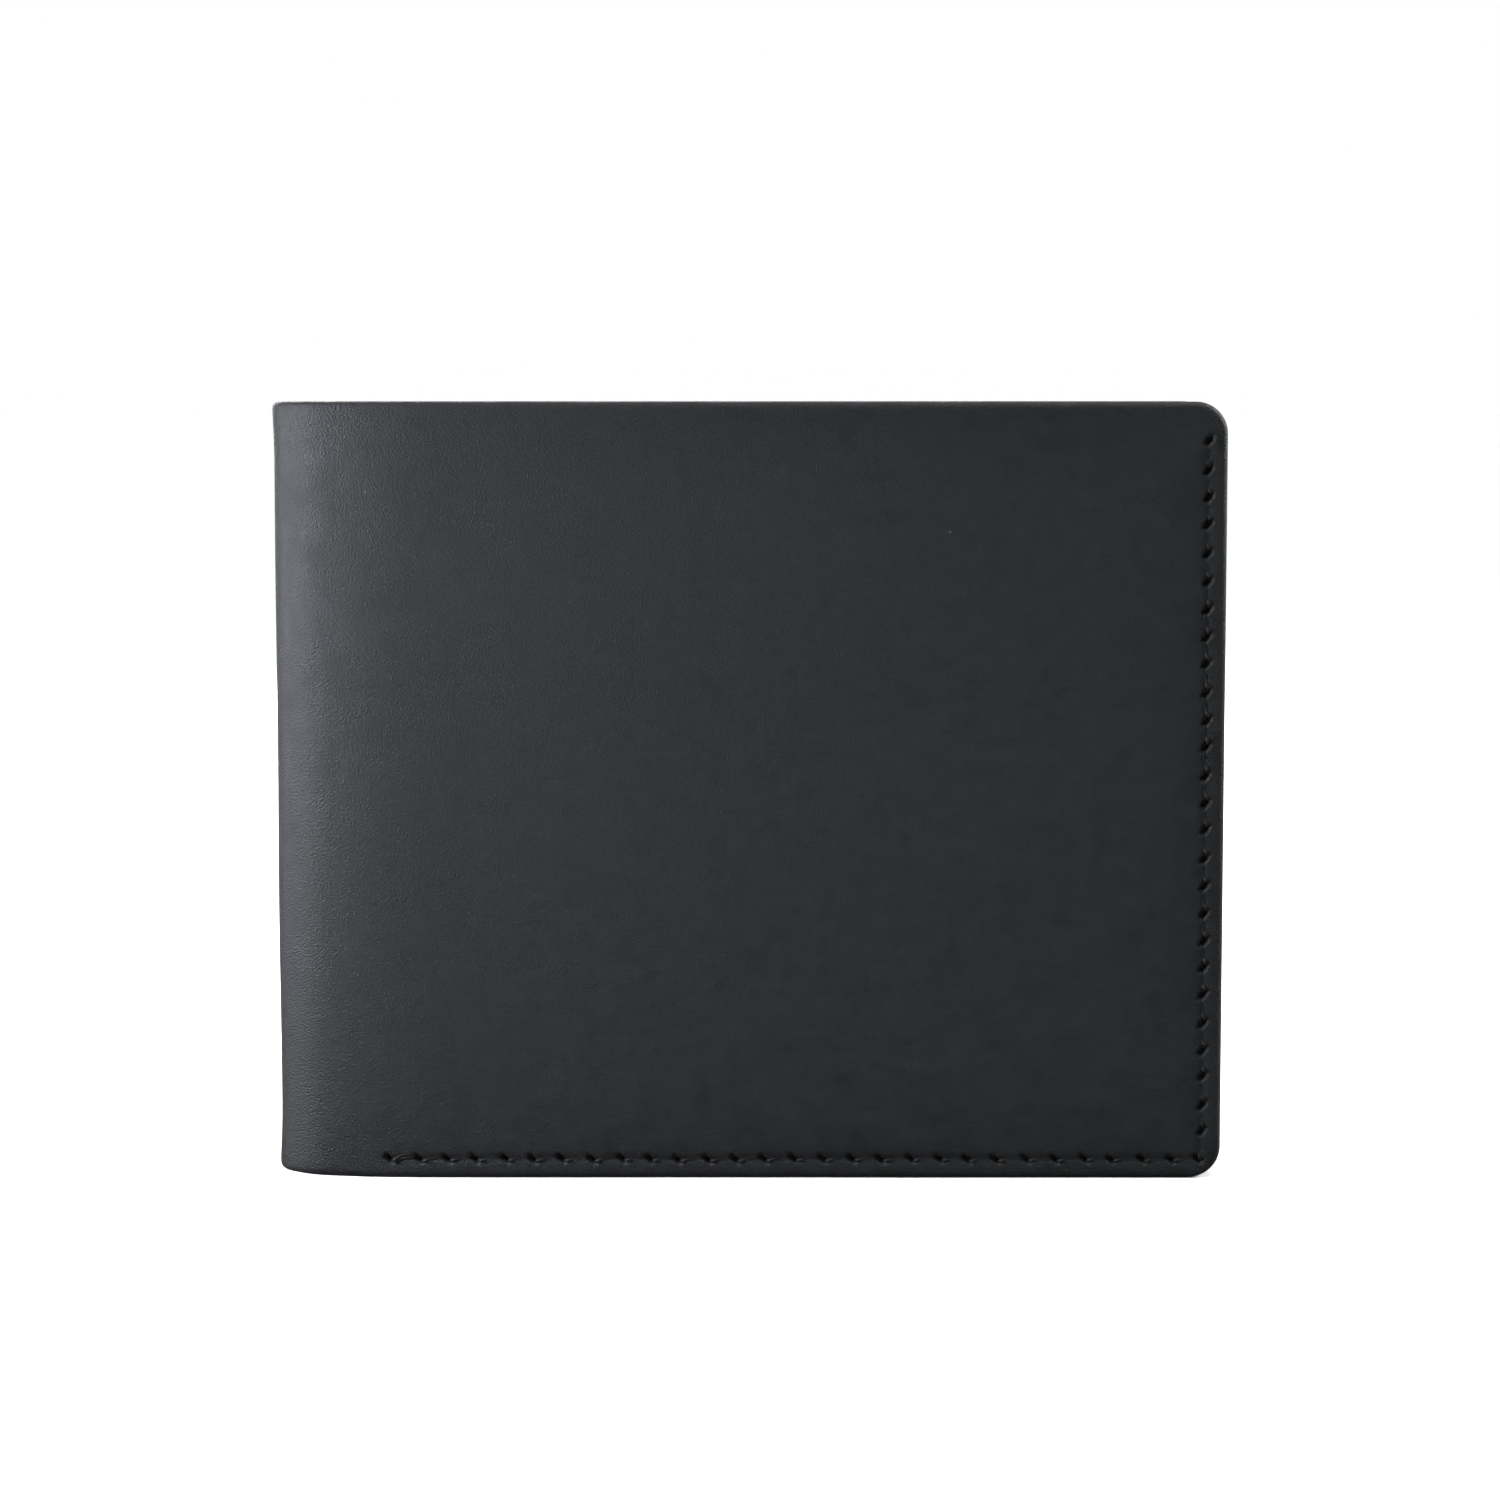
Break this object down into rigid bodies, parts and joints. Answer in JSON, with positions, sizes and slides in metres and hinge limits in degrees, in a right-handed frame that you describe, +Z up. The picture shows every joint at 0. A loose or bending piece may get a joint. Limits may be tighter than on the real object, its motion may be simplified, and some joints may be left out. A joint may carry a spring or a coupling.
{
  "type": "bifold wallet",
  "caption": "Bifold wallet of black oiled leather with saddle-stitched edges, stepped card pockets in each half and a bill compartment behind them.",
  "frame": {"origin": "centre of the closed wallet's footprint, at the lower edge that it stands on", "axes": "+X from the fold towards the open edge, +Y from the front cover towards the back cover, +Z up"},
  "size_m": [0.116, 0.015, 0.095],
  "materials": {
    "outer_leather": "matte oiled black, fine grain",
    "pocket_leather": "smooth matte black",
    "waxed_thread": "waxed, slight sheen"
  },
  "bodies": {
    "spine_centre": {"spine_centre_strip": "outer_leather"},
    "spine_back": {"spine_back_strip": "outer_leather"},
    "spine_front": {"spine_front_strip": "outer_leather"},
    "back_half": {"back_cover": "outer_leather", "back_bill_divider": "pocket_leather", "back_slot_pocket_1": "pocket_leather", "back_slot_pocket_2": "pocket_leather", "back_slot_pocket_3": "pocket_leather", "back_lower_pocket": "pocket_leather", "back_edge_thread": "waxed_thread", "back_fold_side_thread": "waxed_thread", "back_slot_thread_1": "waxed_thread", "back_slot_thread_2": "waxed_thread", "back_slot_thread_3": "waxed_thread"},
    "front_half": {"front_cover": "outer_leather", "front_bill_divider": "pocket_leather", "front_slot_pocket_1": "pocket_leather", "front_slot_pocket_2": "pocket_leather", "front_slot_pocket_3": "pocket_leather", "front_lower_pocket": "pocket_leather", "front_edge_thread": "waxed_thread", "front_fold_side_thread": "waxed_thread", "front_slot_thread_1": "waxed_thread", "front_slot_thread_2": "waxed_thread", "front_slot_thread_3": "waxed_thread"}
  },
  "joints": [
    {"name": "fold", "type": "hinge", "parent": "spine_centre", "child": "spine_back", "pos_m": [-0.05725, 0.00295, 0.0475], "axis": [0, 0, 1], "range_deg": [0, 50]},
    {"name": "back_cover_bend", "type": "hinge", "parent": "spine_back", "child": "back_half", "pos_m": [-0.05273, 0.00675, 0.0475], "axis": [0, 0, 1], "range_deg": [0, 40]},
    {"name": "front_spine_bend", "type": "hinge", "parent": "spine_centre", "child": "spine_front", "pos_m": [-0.05725, -0.00295, 0.0475], "axis": [0, 0, -1], "range_deg": [0, 50]},
    {"name": "front_cover_bend", "type": "hinge", "parent": "spine_front", "child": "front_half", "pos_m": [-0.05273, -0.00675, 0.0475], "axis": [0, 0, -1], "range_deg": [0, 40]}
  ],
  "couplings": [
    {"joint": "back_cover_bend", "follows": "fold", "ratio": 0.8},
    {"joint": "front_spine_bend", "follows": "fold", "ratio": 1},
    {"joint": "front_cover_bend", "follows": "fold", "ratio": 0.8}
  ]
}
